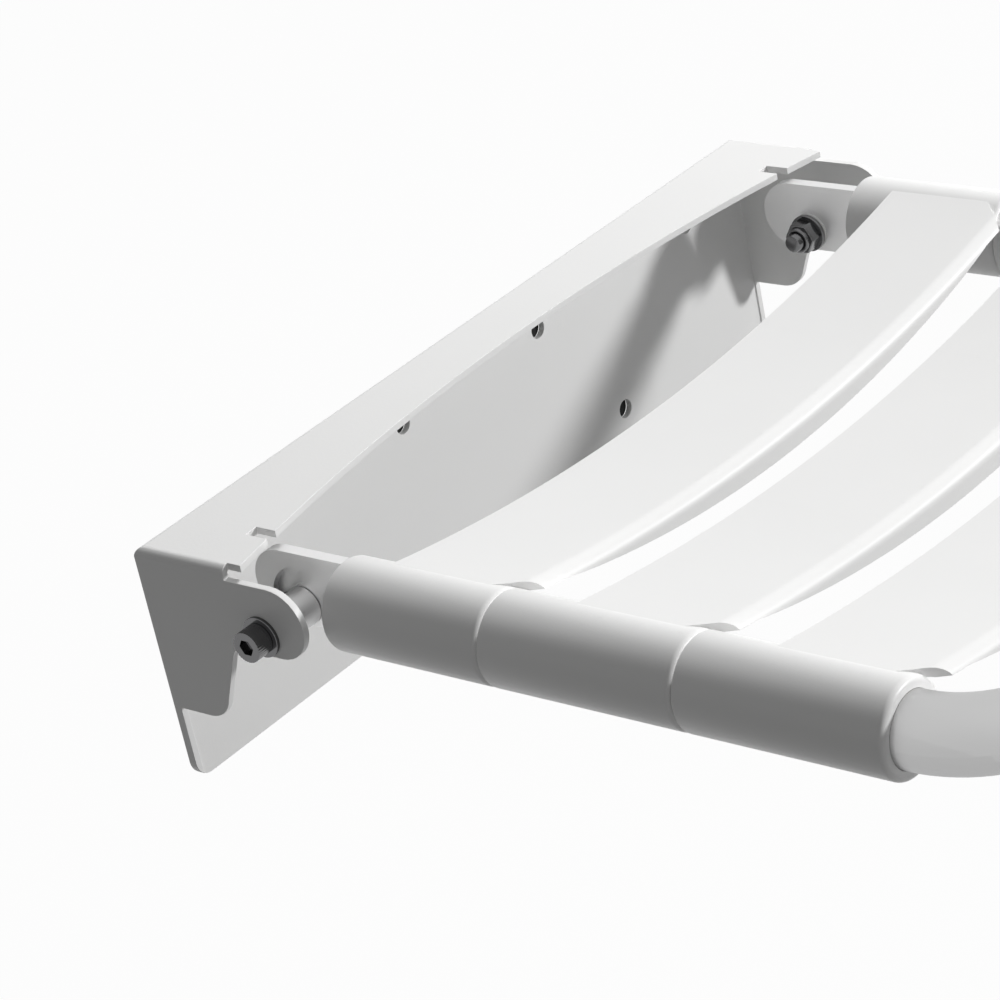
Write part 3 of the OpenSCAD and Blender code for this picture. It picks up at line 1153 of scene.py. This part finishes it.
@dataclass
class Studio:
    """A plain pale floor, a white surround, soft lamps and dark discs of painted shade behind the screw holes.

    Attributes:
        floor_z: The floor's height.
        floor_size: The floor's width in metres.
        floor_shade: How pale the floor is where it lights the seat.
        floor_glow: How much of plain white the floor has where it is seen.
        surround: How bright the surround is where it lights the seat.
        wall_holes: The places of the bracket's screw holes, as X and height, on the right.
        disc_r: The radius of the dark discs of painted shade on the wall.
        disc_y: How far behind the wall's face they lie.
        disc_corners: How many corners they have.
        disc_shade: How pale they are.
        disc_roughness: How rough they are.
        lamps: The lamps.
    """

    floor_z: float = -470.0
    floor_size: float = 14.0
    floor_shade: float = 0.30
    floor_glow: float = 0.97
    surround: float = 0.165
    wall_holes: tuple[tuple[float, float], ...] = ((46.0, 29.0), (156.0, 29.0), (92.0, -32.5))
    disc_r: float = 4.6
    disc_y: float = 0.4
    disc_corners: int = 32
    disc_shade: float = 0.01
    disc_roughness: float = 0.9
    lamps: tuple[Lamp, ...] = (
        Lamp("key_lamp", towards=(1.0, -1.5, 0.55), distance=2.6, size=0.30, level=0.64,
             spared=("moulded_slat_rear", "moulded_slat_middle", "moulded_slat_front")),
        Lamp("top_lamp", towards=(0.62, 0.08, 0.8), distance=2.4, size=0.8, level=0.78, mirrored=False),
    )

    def seen_straight(self, tree: bpy.types.NodeTree) -> bpy.types.NodeSocket:
        """Adds the test for what the camera, a reflection or a clear piece sees.

        Args:
            tree: The nodes it goes into.

        Returns:
            A socket that is 1 for such rays.
        """
        path = tree.nodes.new("ShaderNodeLightPath")
        total = path.outputs["Is Camera Ray"]
        for ray in ("Is Glossy Ray", "Is Transmission Ray"):
            adder = tree.nodes.new("ShaderNodeMath")
            adder.operation = "MAXIMUM"
            tree.links.new(total, adder.inputs[0])
            tree.links.new(path.outputs[ray], adder.inputs[1])
            total = adder.outputs[0]
        return total

    def build_surround(self) -> None:
        """Makes the world white where it is seen and dim where it lights."""
        world = bpy.data.worlds.new("studio_surround")
        bpy.context.scene.world = world
        world.use_nodes = True
        tree = world.node_tree
        tree.nodes.clear()
        seen = self.seen_straight(tree)
        level = tree.nodes.new("ShaderNodeMapRange")
        level.inputs["To Min"].default_value = self.surround
        level.inputs["To Max"].default_value = 1.0
        tree.links.new(seen, level.inputs["Value"])
        shade = tree.nodes.new("ShaderNodeBackground")
        shade.inputs["Color"].default_value = (1.0, 1.0, 1.0, 1.0)
        tree.links.new(level.outputs["Result"], shade.inputs["Strength"])
        output = tree.nodes.new("ShaderNodeOutputWorld")
        tree.links.new(shade.outputs["Background"], output.inputs["Surface"])

    def build_floor(self) -> None:
        """Lays the floor, which is near white where it is seen and keeps the seat's shadow."""
        bpy.ops.object.select_all(action="DESELECT")
        bpy.ops.mesh.primitive_plane_add(size=self.floor_size, location=place(0, 0, self.floor_z))
        floor = named("studio_floor")
        paint = bpy.data.materials.new("floor_paint")
        paint.use_nodes = True
        tree = paint.node_tree
        tree.nodes.clear()
        seen = self.seen_straight(tree)
        matt = tree.nodes.new("ShaderNodeBsdfDiffuse")
        matt.inputs["Color"].default_value = (self.floor_shade, self.floor_shade, self.floor_shade, 1.0)
        glow = tree.nodes.new("ShaderNodeEmission")
        share = tree.nodes.new("ShaderNodeMapRange")
        share.inputs["To Max"].default_value = self.floor_glow
        tree.links.new(seen, share.inputs["Value"])
        mix = tree.nodes.new("ShaderNodeMixShader")
        tree.links.new(share.outputs["Result"], mix.inputs["Fac"])
        tree.links.new(matt.outputs["BSDF"], mix.inputs[1])
        tree.links.new(glow.outputs["Emission"], mix.inputs[2])
        output = tree.nodes.new("ShaderNodeOutputMaterial")
        tree.links.new(mix.outputs["Shader"], output.inputs["Surface"])
        floor.data.materials.append(paint)

    def build_wall_discs(self) -> None:
        """Puts a dark disc of painted shade on the wall behind each screw hole, so that the holes look dark inside.
        """
        # Painted shade: near-black discs stand in for the shadow inside the screw holes.
        shade = bpy.data.materials.new("drill_hole_dark")
        shade.use_nodes = True
        shader = shade.node_tree.nodes["Principled BSDF"]
        shader.inputs["Base Color"].default_value = (self.disc_shade, self.disc_shade, self.disc_shade, 1.0)
        shader.inputs["Roughness"].default_value = self.disc_roughness
        for number, (x, z) in enumerate(self.wall_holes):
            for side in Side:
                bpy.ops.object.select_all(action="DESELECT")
                bpy.ops.mesh.primitive_circle_add(
                    vertices=self.disc_corners, radius=m(self.disc_r), fill_type="NGON",
                    location=place(side.value * x, self.disc_y, z), rotation=Axis.Y.value)
                disc = named(f"wall_disc_{number}_{side.word}")
                disc.data.materials.append(shade)

    def build(self) -> None:
        """Builds the surround, the floor, the dark discs of painted shade and the lamps."""
        self.build_surround()
        self.build_floor()
        self.build_wall_discs()
        for lamp in self.lamps:
            lamp.build()
        bpy.context.scene.view_settings.view_transform = "Standard"


def main() -> None:
    """Builds the seat, the studio and the camera."""
    logging.basicConfig(level=logging.INFO, format="%(message)s")
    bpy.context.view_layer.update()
    Bracket().build()
    Pivots().build()
    for side in Side:
        Lug(side).build()
    Slats().build()
    CarriedNodes({
        SATIN_STEEL: ("seat_tube", "spacer_tube_left", "spacer_tube_right"),
        # These pins and screws get the steel whose near-black colour is painted reflection.
        STEEL_PAINTED_DARK: (
            "stop_pin_left", "stop_pin_right", "lug_pin_left", "lug_pin_right",
            "slat_screws_rear", "slat_screws_middle", "slat_screws_front"),
        BUSH_PLASTIC: ("pivot_bush_left", "pivot_bush_right"),
    }).build()
    Studio().build()
    Camera().build()


if __name__ == "__main__":
    main()
